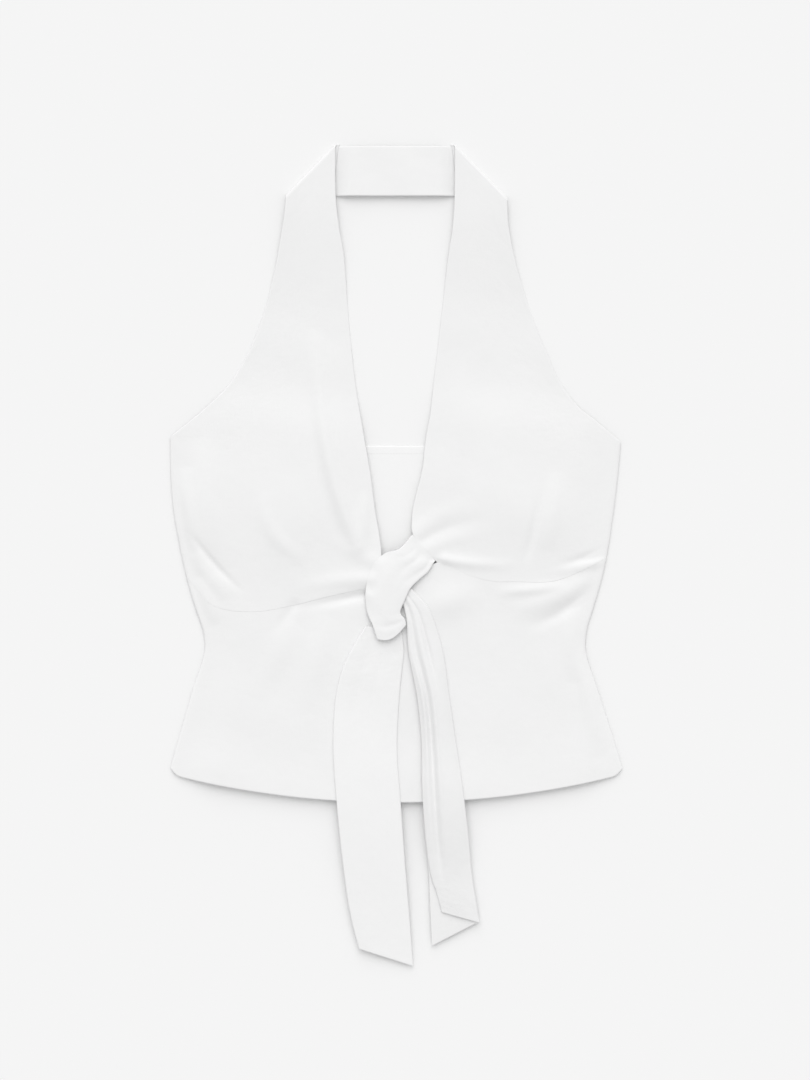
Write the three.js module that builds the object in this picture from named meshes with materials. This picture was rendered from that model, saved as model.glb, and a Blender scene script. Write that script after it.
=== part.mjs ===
// Halter neck top with a knotted front, laid face up on a flat surface.
// Millimetres. X runs across the garment, Y from the hem towards the neck, Z up from the surface it lies on.
// Each piece that a maker cuts is one closed cloth wall, worked out from its edges and from the folds on it.
// "Left" and "right" are those of someone who looks down at the garment.
import * as THREE from "three";

// Cloth, the gap at a seam, and the air under the layers of the tie.
const CLOTH = 1.2;
const TIE_CLOTH = 1.2;
const SEAM_GAP = 0.3;
const SEAM_HALF = 0.2; // how far short of a seam's line each panel's edge stops
const TIE_AIR = 0.7;

// Rows of numbers as objects whose keys are the names of the columns.
function withColumns(columns, rows) {
  return rows.map((row) => Object.fromEntries(row.map((value, k) => [columns[k], value])));
}

// How the laid tube of front and back stands off the surface.
const FRONT_SEAT = CLOTH + SEAM_GAP;
const TUBE_LIFT = 2.3;
const TUBE_ROLL = 46; // the width over which a side edge rolls up to that
const TUBE_TOP = { fadeFrom: 40, fadeTo: 190 };
const HEM_LIFT = 1.7;
const HEM_LIFT_REACH = 60;
const BUST = { x: 116, y: 44, lift: 4.5, reach: 52, reachUp: 100 }; // on either side
const SEAT_ENDS = { from: 118, to: 165 }; // past the back, the straps come down to the surface

// The back: straight across under the arms, its hem just inside the front's.
const BACK_TOP_Y = 104.5;
const BACK_INSET = 0.6;

// The hem is a shallow arc with rounded corners.
const HEM = { lowY: -234, rise: 24, at: 205, half: 215, corner: 10, cornerRise: 6 };

// Side edges, from the underarm down to the hem.
const SIDES = [
  { y: 113, left: -215, right: 213.5 },
  { y: 79, left: -214.5, right: 210.5 },
  { y: 45, left: -212, right: 206.5 },
  { y: 10, left: -206, right: 201.5 },
  { y: -20, left: -199.5, right: 195.5 },
  { y: -48, left: -191.5, right: 187.5 },
  { y: -72, left: -183.5, right: 180.5 },
  { y: -92, left: -182.5, right: 180 },
  { y: -125, left: -193, right: 190.5 },
  { y: -165, left: -204.5, right: 203.5 },
  { y: -202, left: -215, right: 215 },
];

// The straps turn behind themselves at the neck, along a line at 45 degrees, and meet the neck band.
const STRAP_BEND = 2; // radius of that turn, at the middle of the cloth
const STRAP_RISE = { from: 225, to: 339 };
const NECK_BAND = { lowY: 342, highY: 389.4, lift: 4.2, liftAtTop: 0.6, easeIn: 17 };

// Cups, with the strap cut in one. "armhole" and "neckline" give x for each y, and "underbust" gives y
// for each x.
const CUPS = {
  front_cup_left: {
    columns: 24,
    outward: -1,
    foot: { x: -199.5, y: -20 },
    underarmY: 113,
    knotY: -29,
    neckRowY: 52, // the point of the neckline level with the underarm's row
    fold: { outerX: -105, outerY: 339, innerX: -58.2, innerY: 387 },
    bandSeam: { lowX: -61, highX: -55.2 },
    underbust: [
      { x: -199.5, y: -20 },
      { x: -176, y: -46 },
      { x: -138, y: -53 },
      { x: -98, y: -47 },
      { x: -62, y: -38 },
      { x: -20, y: -29 },
    ],
    armhole: [
      { y: 113, x: -215 },
      { y: 142, x: -180 },
      { y: 167, x: -156 },
      { y: 211, x: -133 },
      { y: 268, x: -116.5 },
      { y: 318, x: -107.5 },
      { y: 339, x: -105 },
    ],
    neckline: [
      { y: -29, x: -20 },
      { y: -2, x: -14.5 },
      { y: 18, x: -16 },
      { y: 41, x: -20 },
      { y: 79, x: -25 },
      { y: 120, x: -32 },
      { y: 167, x: -39.5 },
      { y: 231, x: -46 },
      { y: 285, x: -50 },
      { y: 312, x: -54.5 },
      { y: 341, x: -57.7 },
      { y: 387, x: -58.2 },
    ],
  },
  front_cup_right: {
    columns: 22,
    outward: 1,
    foot: { x: 199, y: -2 },
    underarmY: 108,
    knotY: -6,
    neckRowY: 60,
    fold: { outerX: 105, outerY: 336.5, innerX: 55.6, innerY: 386.9 },
    bandSeam: { lowX: 58.5, highX: 52.6 },
    underbust: [
      { x: 38.5, y: -6 },
      { x: 51, y: -10 },
      { x: 68, y: -18 },
      { x: 91, y: -24 },
      { x: 112, y: -24.5 },
      { x: 148, y: -24 },
      { x: 175, y: -14.5 },
      { x: 199, y: -2 },
    ],
    armhole: [
      { y: 108, x: 213.5 },
      { y: 127, x: 191 },
      { y: 143, x: 171.5 },
      { y: 167, x: 154 },
      { y: 186, x: 145.5 },
      { y: 226, x: 129.5 },
      { y: 274, x: 114.5 },
      { y: 312, x: 106.5 },
      { y: 336.5, x: 105 },
    ],
    neckline: [
      { y: -6, x: 38.5 },
      { y: 8, x: 25.5 },
      { y: 21, x: 15.5 },
      { y: 33, x: 14.5 },
      { y: 48.5, x: 16.2 },
      { y: 83, x: 24.7 },
      { y: 109, x: 27.5 },
      { y: 137, x: 32.3 },
      { y: 167, x: 35.6 },
      { y: 231, x: 43.2 },
      { y: 285, x: 49.3 },
      { y: 312.6, x: 53.4 },
      { y: 341, x: 55.2 },
      { y: 386.9, x: 55.6 },
    ],
  },
};
const CUP_ROWS = { side: 13, armhole: 17, turn: 5, band: 2 };
const UNDERBUST_FADE = 0.3; // share of a cup's rows over which its lower edge's curve straightens
const LOWER_ROWS = 15;
const MIDDLE_COLUMNS = 5; // of the lower front, behind the knot

// Fullness of the cups where they gather into the knot; the lower front has a share of it.
const GATHER = { x: 8, y: -6, rise: 3.4, reach: 30, lowerShare: 0.25 };

// Folds: from, bend and to are a quadratic curve; a negative rise is a crease. One with an open start
// is deepest where it starts, at the knot or at a seam.
const FOLDS = withColumns(
  ["fromX", "fromY", "bendX", "bendY", "toX", "toY", "rise", "width", "open"],
  [
    [-78, 220, -74, 88, -38, 8, 4, 7.5, false],
    [-36, 10, -56, 52, -72, 128, 2.4, 7.5, true],
    [-64, 210, -58, 92, -30, 14, 1.8, 17, false],
    [-124, 62, -130, 14, -84, -4, 1.5, 7, false],
    [-30, 60, -32, 34, -28, 10, 1.6, 5, false],
    [-195, 22, -178, -6, -145, -35, -2, 2.6, false],
    [-192, 4, -182, -18, -158, -40, 2.2, 7, false],
    [-186, 112, -186, 45, -172, -15, 3.2, 13, false],
    [-24, -22, -62, -22, -108, -34, 1.9, 7, true],
    [-20, -6, -44, 2, -72, 26, 1.2, 7, true],
    [-26, -36, -64, -44, -102, -51, -2.4, 4.5, true],
    [-97, -47, -104, -57, -118, -77, -1.3, 5, true],
    [-92, -66, -118, -92, -132, -136, 1.2, 12, false],
    [-66, -56, -76, -92, -82, -150, 1.3, 11, false],
    [66, 196, 64, 130, 50, 62, 1.4, 14, false],
    [135, 60, 132, 24, 122, -8, -1.6, 3.6, false],
    [150, 80, 151, 40, 142, 4, 1.9, 9, false],
    [46, -3, 82, -11, 124, -7, 2, 5, true],
    [22, 24, 48, 48, 86, 46, 1.2, 8, true],
    [32, 8, 62, 22, 102, 20, 1, 7, true],
    [26, 15, 54, 34, 92, 34, -0.8, 5, true],
    [200, 4, 178, -2, 148, -11, -2.4, 3.2, true],
    [198, -5, 176, -11, 138, -17, 2, 4.5, true],
    [190, -14, 160, -42, 108, -52, 2.3, 9, false],
    [186, -28, 160, -58, 122, -68, -1.6, 6, false],
    [162, -27, 130, -33, 94, -34, 1.8, 5, false],
    [22, -52, 42, -44, 84, -34, 2.8, 15, false],
    [166, -48, 161, -82, 168, -120, 2.2, 10, false],
    [175, -52, 178, -120, 194, -190, 2.8, 9, false],
    [-201, 84, -199, 40, -186, -8, 2.8, 8, false],
    [-188, -20, -180, -40, -172, -66, 2, 7, false],
  ],
);
const FOLD_STEPS = 10;
const FOLD_FADE = { from: -4, to: 14 }; // from a side edge inwards

// The tie, a strip of cloth folded lengthwise. Each row is a section across one tail: the free edge of the
// layer underneath, the fold, the free edge of the layer on top, the radius of the fold, the fullness between
// the two layers, and where the long pleat lies between the fold (0) and the upper free edge (1).
// Past the hem, a tail comes down towards the surface over this length.
const TAIL_DROP = { tie_tail_left: 150, tie_tail_right: 80 };
const TAIL_END_LIFT = 2.6; // how far off the surface it ends
// Where the upper layer is wider than the one underneath, it comes down to it, from so far before that one's
// edge to so far past it. It does so in full where it is 24 mm wider, and not at all at 4 mm.
const TAIL_STEP = { before: 18, past: 12, none: 4, full: 24 };
const TAIL_COLUMNS = ["lowX", "lowY", "foldX", "foldY", "topX", "topY", "bend", "puff", "pleat"];
const TAILS = {
  tie_tail_left: withColumns(TAIL_COLUMNS, [
    [-18, -67, -29, -67, 4, -67, 0.8, 0.3, 0.3],
    [-26, -89, -42.3, -89, 7, -89, 0.85, 0.8, 0.3],
    [-31, -108, -50.8, -108, 5.2, -108, 0.9, 1.3, 0.3],
    [-36, -137, -57.5, -137, 2.4, -137, 0.9, 1.6, 0.3],
    [-37, -184, -59.4, -184, 0.5, -184, 0.9, 1.6, 0.3],
    [-33, -235, -56, -235, 3.9, -233, 0.9, 1.4, 0.3],
    [-28, -292, -50.3, -291, 8.1, -292, 0.9, 1.3, 0.3],
    [-22, -340, -43.6, -338, 12.4, -344, 0.9, 1.1, 0.3],
    [-15, -376, -35.2, -373, 15.7, -389.6, 0.9, 0.8, 0.3],
  ]),
  tie_tail_right: withColumns(TAIL_COLUMNS, [
    [4.5, -37.5, 13.5, -31, 4.2, -38.5, 0.8, 0.2, 0.8],
    [10, -58, 31, -52, 9, -58, 0.9, 1.4, 0.8],
    [12.5, -91, 42.9, -88, 11.5, -91, 0.9, 3, 0.76],
    [20.5, -133, 49.5, -133, 19.5, -133, 0.9, 4.4, 0.67],
    [24.5, -175, 55.6, -175, 23.8, -175, 0.9, 4.6, 0.7],
    [25, -218, 62, -218, 24.4, -218, 0.9, 4.4, 0.7],
    [27.2, -262, 67.3, -262, 27, -262, 0.9, 3.6, 0.71],
    [30.5, -300, 70.8, -300, 32, -300, 0.9, 2.2, 0.72],
    [32, -336, 75, -328, 38.5, -321, 0.9, 1.3, 0.72],
    [33.7, -370.5, 78.4, -348, 43, -338, 0.9, 0.6, 0.72],
  ]),
};
const TAIL_GRID = { under: 3, turn: 4, over: 9, length: 22 };
const TAIL_PLEATS = {
  tie_tail_left: { width: 0.12, depth: 0.35 },
  tie_tail_right: { width: 0.13, depth: 0.95 },
};

// The loop of the tie over the knot: the two edges of each section across it, how high each edge stands,
// how far the loop arches between them, and how far its middle sags towards the hem.
const KNOT_LOOP = withColumns(
  ["leftX", "leftY", "rightX", "rightY", "leftZ", "rightZ", "crown", "sag"],
  [
    [14.4, 19.8, 36, -5.2, 5.7, 6.8, 0.3, 0],
    [3, 7, 30.5, -14.5, 7.8, 7.4, 0.8, 0],
    [-11, 2.5, 22, -22, 8.6, 8, 1.2, 0],
    [-22.5, -9, 13.5, -30.5, 8.6, 9.4, 1.5, 0],
    [-29, -30, 8, -42, 7.2, 9.6, 2.1, 0],
    [-28.5, -51, 3.8, -53, 6.4, 9.6, 2.4, 1],
    [-22.5, -66, 8, -60, 9.2, 9.6, 1.5, 3],
    [-18.5, -78.5, 9.2, -65, 9.7, 9.7, 0.8, 6.5],
  ],
);
const LOOP_GRID = { across: 16, along: 20 };
// The share of its length over which the loop leaves the right cup, whose gathers it is.
const LOOP_START = 0.16;
// Pleats of the loop: where each lies across it, and the share of its length at which it has died out.
const LOOP_PLEATS = [
  { share: 0.28, width: 0.07, depth: 0.5, gone: 0.34 },
  { share: 0.56, width: 0.08, depth: 0.9, gone: 0.55 },
  { share: 0.82, width: 0.07, depth: 0.7, gone: 0.65 },
];
// What the loop holds: the packed layers of the tie, as a share of the loop's width and length.
const KNOT_CORE = { fromAcross: 0.36, toAcross: 0.78, fromAlong: 0.34, toAlong: 0.7, across: 6, along: 9 };

const WHITE_COTTON = { color: 0xf1f1f0, roughness: 0.82, metalness: 0 };

const { lerp, smoothstep } = THREE.MathUtils;

// A value of one column of a table, smooth through its rows, at a place along another column.
function fromTable(rows, by, key, at) {
  const last = rows.length - 1;
  const place = (k) => (by === "row" ? k : rows[k][by]);
  const direction = Math.sign(place(last) - place(0));
  let k = 0;
  while (k < last - 1 && (at - place(k + 1)) * direction > 0) {
    k += 1;
  }
  const slope = (a, b) => (rows[b][key] - rows[a][key]) / (place(b) - place(a));
  const slopeIn = slope(Math.max(k - 1, 0), k + 1);
  const slopeOut = slope(k, Math.min(k + 2, last));
  const span = place(k + 1) - place(k);
  const f = THREE.MathUtils.clamp((at - place(k)) / span, 0, 1);
  const toEnd = f * f * (3 - 2 * f);
  return (
    lerp(rows[k][key], rows[k + 1][key], toEnd) +
    f * (1 - f) * (1 - f) * span * slopeIn -
    f * f * (1 - f) * span * slopeOut
  );
}

// All columns of a table of sections at a share of its length.
function sectionAt(rows, share) {
  const at = share * (rows.length - 1);
  const values = Object.keys(rows[0]).map((key) => [key, fromTable(rows, "row", key, at)]);
  return Object.fromEntries(values);
}

const sideX = (side, y) => fromTable(SIDES, "y", side, y);

function hemY(x) {
  const pastCorner = Math.max(Math.abs(x) - (HEM.half - HEM.corner), 0) / HEM.corner;
  return HEM.lowY + HEM.rise * (x / HEM.at) ** 2 + HEM.cornerRise * pastCorner ** 2;
}

// Points along each fold, worked out once.
const FOLD_LINES = FOLDS.map((fold) => {
  const from = new THREE.Vector2(fold.fromX, fold.fromY);
  const bend = new THREE.Vector2(fold.bendX, fold.bendY);
  const to = new THREE.Vector2(fold.toX, fold.toY);
  return new THREE.QuadraticBezierCurve(from, bend, to).getPoints(FOLD_STEPS);
});

// Height that the folds add at a point: each is a soft ridge or trough across its line, and dies out
// along it.
function foldHeight(x, y) {
  const here = new THREE.Vector2(x, y);
  const step = new THREE.Vector2();
  const away = new THREE.Vector2();
  let height = 0;
  FOLDS.forEach((fold, index) => {
    const line = FOLD_LINES[index];
    let nearest = Infinity;
    let share = 0;
    for (let k = 0; k < FOLD_STEPS; k += 1) {
      step.subVectors(line[k + 1], line[k]);
      away.subVectors(here, line[k]);
      const f = THREE.MathUtils.clamp(away.dot(step) / step.lengthSq(), 0, 1);
      const distance = away.addScaledVector(step, -f).length();
      if (distance < nearest) {
        nearest = distance;
        share = (k + f) / FOLD_STEPS;
      }
    }
    const along = fold.open ? Math.cos((share * Math.PI) / 2) ** 1.5 : Math.sin(share * Math.PI);
    height += fold.rise * along * Math.exp(-((nearest / fold.width) ** 2));
  });
  return height;
}

// Height of the underside of the front at a point.
function frontHeight(x, y, gatherShare) {
  const seat = FRONT_SEAT * (1 - smoothstep(y, SEAT_ENDS.from, SEAT_ENDS.to));
  const inset = Math.min(x - sideX("left", y), sideX("right", y) - x);
  const rolled = smoothstep(inset, 0, TUBE_ROLL);
  const tube = TUBE_LIFT * rolled * (1 - smoothstep(y, TUBE_TOP.fadeFrom, TUBE_TOP.fadeTo));
  const gape = HEM_LIFT * rolled * (1 - smoothstep(y - hemY(x), 0, HEM_LIFT_REACH));
  const bustReachY = y > BUST.y ? BUST.reachUp : BUST.reach;
  const bustAway = Math.hypot((Math.abs(x) - BUST.x) / BUST.reach, (y - BUST.y) / bustReachY);
  const bust = BUST.lift * Math.exp(-(bustAway ** 2)) * rolled;
  const gatherAway = Math.hypot(x - GATHER.x, y - GATHER.y) / GATHER.reach;
  const gather = GATHER.rise * gatherShare * Math.exp(-(gatherAway ** 2));
  const folds = foldHeight(x, y) * smoothstep(inset, FOLD_FADE.from, FOLD_FADE.to);
  const strap = 2 * STRAP_BEND * smoothstep(y, STRAP_RISE.from, STRAP_RISE.to);
  return seat + Math.max(tube + gape + bust + gather + folds, 0) + strap;
}

// A closed wall over a grid of spots. Each spot has a point on the wall's first face, the direction
// through the cloth, and the cloth's thickness there.
function clothWall(columns, rows, spot) {
  const across = columns + 1;
  const faceSize = across * (rows + 1);
  const positions = new Float32Array(faceSize * 2 * 3);
  for (let j = 0; j <= rows; j += 1) {
    for (let i = 0; i <= columns; i += 1) {
      const { at, through, thickness } = spot(i, j);
      const index = j * across + i;
      at.toArray(positions, index * 3);
      at.clone().addScaledVector(through, thickness).toArray(positions, (faceSize + index) * 3);
    }
  }
  const triangles = [];
  const quad = (a, b, c, d) => triangles.push(a, b, c, a, c, d);
  for (let j = 0; j < rows; j += 1) {
    for (let i = 0; i < columns; i += 1) {
      const a = j * across + i;
      quad(faceSize + a, faceSize + a + 1, faceSize + a + across + 1, faceSize + a + across);
      quad(a, a + across, a + across + 1, a + 1);
    }
  }
  const lastRow = rows * across;
  for (let i = 0; i < columns; i += 1) {
    quad(i, i + 1, faceSize + i + 1, faceSize + i);
    quad(lastRow + i + 1, lastRow + i, faceSize + lastRow + i, faceSize + lastRow + i + 1);
  }
  for (let j = 0; j < rows; j += 1) {
    const a = j * across;
    const b = a + columns;
    quad(a + across, a, faceSize + a, faceSize + a + across);
    quad(b, b + across, faceSize + b + across, faceSize + b);
  }
  return closedGeometry(positions, triangles);
}

// A geometry whose faces point out, whichever way its grid runs.
function closedGeometry(positions, triangles) {
  const geometry = new THREE.BufferGeometry();
  geometry.setAttribute("position", new THREE.BufferAttribute(positions, 3));
  const corner = [new THREE.Vector3(), new THREE.Vector3(), new THREE.Vector3()];
  let volume = 0;
  for (let k = 0; k < triangles.length; k += 3) {
    corner.forEach((point, n) => point.fromArray(positions, triangles[k + n] * 3));
    volume += corner[0].dot(corner[1].cross(corner[2])) / 6;
  }
  geometry.setIndex(volume < 0 ? triangles.slice().reverse() : triangles);
  geometry.computeVertexNormals();
  return geometry;
}

const UP = new THREE.Vector3(0, 0, 1);

// A cup's place in plan: across runs from its left edge to its right, row from the underbust up to the
// strap's fold.
function cupPlan(cup, across, row) {
  const turnRow = CUP_ROWS.side + CUP_ROWS.armhole;
  const onSide = Math.min(row / CUP_ROWS.side, 1);
  const onArmhole = Math.max(row - CUP_ROWS.side, 0) / CUP_ROWS.armhole;
  const outerY = onArmhole > 0
    ? lerp(cup.underarmY, cup.fold.outerY, onArmhole)
    : lerp(cup.foot.y, cup.underarmY, onSide);
  const outerX = onArmhole > 0
    ? fromTable(cup.armhole, "y", "x", outerY)
    : sideX(cup.outward < 0 ? "left" : "right", outerY);
  const innerY = onArmhole > 0
    ? lerp(cup.neckRowY, cup.fold.innerY, onArmhole)
    : lerp(cup.knotY, cup.neckRowY, onSide);
  const innerX = fromTable(cup.neckline, "y", "x", innerY);
  const inward = cup.outward < 0 ? across : 1 - across;
  const x = lerp(outerX, innerX, inward);
  const lowerEdgeX = lerp(cup.foot.x, cup.neckline[0].x, inward);
  const sag = fromTable(cup.underbust, "x", "y", lowerEdgeX) - lerp(cup.foot.y, cup.knotY, inward);
  const straightened = Math.max(1 - row / turnRow / UNDERBUST_FADE, 0) ** 2;
  const gap = row === 0 ? SEAM_HALF : 0;
  return { x, y: lerp(outerY, innerY, inward) + sag * straightened + gap, inward };
}

// A cup with its strap, which turns over at the neck and runs back under itself to the neck band.
function cupWall(cup) {
  const turnRow = CUP_ROWS.side + CUP_ROWS.armhole;
  const bandRow = turnRow + CUP_ROWS.turn;
  const { fold } = cup;
  const alongFold = new THREE.Vector3(fold.innerX - fold.outerX, fold.innerY - fold.outerY, 0).normalize();
  const outFromFold = new THREE.Vector3(cup.outward, 1, 0).normalize();
  const spot = (i, j) => {
    const plan = cupPlan(cup, i / cup.columns, Math.min(j, turnRow));
    if (j <= turnRow) {
      const z = frontHeight(plan.x, plan.y, j === 0 ? GATHER.lowerShare : 1);
      return { at: new THREE.Vector3(plan.x, plan.y, z), through: UP, thickness: CLOTH };
    }
    const turned = Math.min((j - turnRow) / CUP_ROWS.turn, 1) * Math.PI;
    const through = outFromFold.clone().multiplyScalar(Math.sin(turned)).setZ(Math.cos(turned));
    const at = new THREE.Vector3(plan.x, plan.y, CLOTH / 2 + STRAP_BEND)
      .addScaledVector(alongFold, STRAP_BEND * turned)
      .addScaledVector(through, STRAP_BEND - CLOTH / 2);
    const run = Math.max(j - bandRow, 0) / CUP_ROWS.band;
    const seamX = lerp(cup.bandSeam.lowX, cup.bandSeam.highX, plan.inward);
    at.x = lerp(at.x, seamX, run);
    at.y = lerp(at.y, lerp(NECK_BAND.lowY, NECK_BAND.highY, plan.inward), run);
    return { at, through, thickness: CLOTH };
  };
  return clothWall(cup.columns, bandRow + CUP_ROWS.band, spot);
}

// The lower front, from the hem up to the two underbust seams. Its columns meet those of the cups.
function lowerFrontWall() {
  const left = CUPS.front_cup_left;
  const right = CUPS.front_cup_right;
  const columns = left.columns + MIDDLE_COLUMNS + right.columns;
  const leftEnd = left.neckline[0].x;
  const rightEnd = right.neckline[0].x;
  const topEdge = (i) => {
    if (i <= left.columns) {
      const x = lerp(left.foot.x, leftEnd, i / left.columns);
      return { x, y: fromTable(left.underbust, "x", "y", x) };
    }
    if (i >= left.columns + MIDDLE_COLUMNS) {
      const x = lerp(rightEnd, right.foot.x, (i - left.columns - MIDDLE_COLUMNS) / right.columns);
      return { x, y: fromTable(right.underbust, "x", "y", x) };
    }
    const share = (i - left.columns) / MIDDLE_COLUMNS;
    return { x: lerp(leftEnd, rightEnd, share), y: lerp(left.knotY, right.knotY, share) };
  };
  const spot = (i, j) => {
    const up = j / LOWER_ROWS;
    const top = topEdge(i);
    const across = (top.x - left.foot.x) / (right.foot.x - left.foot.x);
    const hemCorner = hemY(HEM.half);
    const leftX = sideX("left", lerp(hemCorner, left.foot.y, up));
    const rightX = sideX("right", lerp(hemCorner, right.foot.y, up));
    const x = lerp(leftX, rightX, across);
    const gap = j === LOWER_ROWS ? SEAM_HALF : 0;
    const y = lerp(hemY(lerp(-HEM.half, HEM.half, across)), top.y, up) - gap;
    const z = frontHeight(x, y, GATHER.lowerShare);
    return { at: new THREE.Vector3(x, y, z), through: UP, thickness: CLOTH };
  };
  return clothWall(columns, LOWER_ROWS, spot);
}

// The back lies flat on the surface.
function backPanel() {
  const outline = new THREE.Shape();
  const sideRows = 16;
  const hemColumns = 30;
  const hemCorner = hemY(HEM.half);
  const down = (k) => lerp(BACK_TOP_Y, hemCorner + BACK_INSET, k / sideRows);
  for (let k = 0; k <= sideRows; k += 1) {
    const place = [sideX("left", down(k)) + BACK_INSET, down(k)];
    if (k === 0) {
      outline.moveTo(...place);
    } else {
      outline.lineTo(...place);
    }
  }
  for (let k = 1; k < hemColumns; k += 1) {
    const x = lerp(-HEM.half, HEM.half, k / hemColumns);
    outline.lineTo(x, hemY(x) + BACK_INSET * 2);
  }
  for (let k = sideRows; k >= 0; k -= 1) {
    outline.lineTo(sideX("right", down(k)) - BACK_INSET, down(k));
  }
  outline.closePath();
  return new THREE.ExtrudeGeometry(outline, { depth: CLOTH, bevelEnabled: false });
}

// The band behind the neck. Between the straps its lower edge stands off the surface.
function neckBandWall() {
  const columns = 14;
  const rows = 4;
  const left = CUPS.front_cup_left.bandSeam;
  const right = CUPS.front_cup_right.bandSeam;
  const spot = (i, j) => {
    const across = i / columns;
    const up = j / rows;
    const leftX = lerp(left.lowX, left.highX, up) + SEAM_GAP;
    const rightX = lerp(right.lowX, right.highX, up) - SEAM_GAP;
    const fromStrap = (rightX - leftX) * Math.min(across, 1 - across);
    const free = smoothstep(fromStrap, 0, NECK_BAND.easeIn);
    const lift = NECK_BAND.lift * free * lerp(1, NECK_BAND.liftAtTop, up);
    const x = lerp(leftX, rightX, across);
    const y = lerp(NECK_BAND.lowY, NECK_BAND.highY, up);
    const at = new THREE.Vector3(x, y, lift);
    return { at, through: UP, thickness: CLOTH };
  };
  return clothWall(columns, rows, spot);
}

// Height of what carries a tail: the lower front, then past the hem a long slope down.
function tailSeat(x, y, drop) {
  const overFront = frontHeight(x, Math.max(y, hemY(x)), GATHER.lowerShare) + CLOTH + TIE_AIR;
  const pastHem = Math.max(hemY(x) - y, 0);
  return lerp(overFront, TAIL_END_LIFT, smoothstep(pastHem, 1, drop));
}

// One tail of the tie: the layer underneath, the turn at the fold, and the layer on top.
function tailWall(sections, pleat, drop) {
  const columns = TAIL_GRID.under + TAIL_GRID.turn + TAIL_GRID.over;
  const spot = (i, j) => {
    const section = sectionAt(sections, j / TAIL_GRID.length);
    const fold = new THREE.Vector2(section.foldX, section.foldY);
    const freeUnder = new THREE.Vector2(section.lowX, section.lowY);
    const freeOver = new THREE.Vector2(section.topX, section.topY);
    const inward = new THREE.Vector2().subVectors(freeOver, fold).normalize();
    const turnCentre = fold.clone().addScaledVector(inward, section.bend);
    const onTurn = THREE.MathUtils.clamp((i - TAIL_GRID.under) / TAIL_GRID.turn, 0, 1);
    const angle = (onTurn - 0.5) * Math.PI;
    const plan = turnCentre.clone().addScaledVector(inward, -section.bend * Math.cos(angle));
    const through = new THREE.Vector3(-inward.x, -inward.y, 0).multiplyScalar(Math.cos(angle));
    through.z = Math.sin(angle);
    let fullness = 0;
    let comeDown = 0;
    if (i < TAIL_GRID.under) {
      plan.lerp(freeUnder, 1 - i / TAIL_GRID.under);
    }
    if (i > TAIL_GRID.under + TAIL_GRID.turn) {
      const over = (i - TAIL_GRID.under - TAIL_GRID.turn) / TAIL_GRID.over;
      plan.lerp(freeOver, over);
      const crease = pleat.depth * Math.exp(-(((over - section.pleat) / pleat.width) ** 2));
      fullness = section.puff * Math.sin(over * Math.PI) ** 0.8 * (1 - crease);
      const underWidth = fold.distanceTo(freeUnder);
      const overWidth = fold.distanceTo(freeOver);
      const wider = smoothstep(overWidth - underWidth, TAIL_STEP.none, TAIL_STEP.full);
      const reached = smoothstep(over * overWidth - underWidth, -TAIL_STEP.before, TAIL_STEP.past);
      comeDown = 2 * section.bend * wider * reached;
    }
    const turnHeight = section.bend * (1 + Math.sin(angle)) - comeDown;
    const middle = tailSeat(plan.x, plan.y, drop) + TIE_CLOTH / 2 + turnHeight + fullness;
    const at = new THREE.Vector3(plan.x, plan.y, middle).addScaledVector(through, -TIE_CLOTH / 2);
    return { at, through, thickness: TIE_CLOTH };
  };
  return clothWall(columns, TAIL_GRID.length, spot);
}

// A point on the underside of the loop over the knot.
function loopPoint(across, along) {
  const section = sectionAt(KNOT_LOOP, along);
  const arch = Math.sin(across * Math.PI) ** 0.75 * section.crown;
  const x = lerp(section.leftX, section.rightX, across);
  const y = lerp(section.leftY, section.rightY, across) - section.sag * Math.sin(across * Math.PI);
  let z = lerp(section.leftZ, section.rightZ, across) + arch;
  for (const pleat of LOOP_PLEATS) {
    const bell = Math.exp(-(((across - pleat.share) / pleat.width) ** 2));
    z -= pleat.depth * bell * (1 - smoothstep(along, 0, pleat.gone));
  }
  const asCup = frontHeight(x, y, 1) + CLOTH - TIE_CLOTH;
  const left = smoothstep(along, 0, LOOP_START * (1.05 - across ** 3));
  return new THREE.Vector3(x, y, lerp(asCup, z, left));
}

function knotLoopWall() {
  const spot = (i, j) => {
    const at = loopPoint(i / LOOP_GRID.across, j / LOOP_GRID.along);
    return { at, through: UP, thickness: TIE_CLOTH };
  };
  return clothWall(LOOP_GRID.across, LOOP_GRID.along, spot);
}

// The packed layers inside the knot, from the lower front up to the loop.
function knotCore() {
  const spot = (i, j) => {
    const across = lerp(KNOT_CORE.fromAcross, KNOT_CORE.toAcross, i / KNOT_CORE.across);
    const along = lerp(KNOT_CORE.fromAlong, KNOT_CORE.toAlong, j / KNOT_CORE.along);
    const top = loopPoint(across, along);
    const base = frontHeight(top.x, top.y, GATHER.lowerShare) + CLOTH + TIE_AIR;
    const at = new THREE.Vector3(top.x, top.y, base);
    return { at, through: UP, thickness: top.z - TIE_AIR - base };
  };
  return clothWall(KNOT_CORE.across, KNOT_CORE.along, spot);
}

const top = new THREE.Group();

function addPiece(name, geometry) {
  const piece = new THREE.Mesh(geometry, new THREE.MeshStandardMaterial(WHITE_COTTON));
  piece.name = name;
  top.add(piece);
}

addPiece("back_panel", backPanel());
addPiece("front_lower", lowerFrontWall());
for (const [name, cup] of Object.entries(CUPS)) {
  addPiece(name, cupWall(cup));
}
addPiece("neck_band", neckBandWall());
addPiece("knot_core", knotCore());
addPiece("knot_loop", knotLoopWall());
for (const [name, sections] of Object.entries(TAILS)) {
  addPiece(name, tailWall(sections, TAIL_PLEATS[name], TAIL_DROP[name]));
}

export default top;
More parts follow.
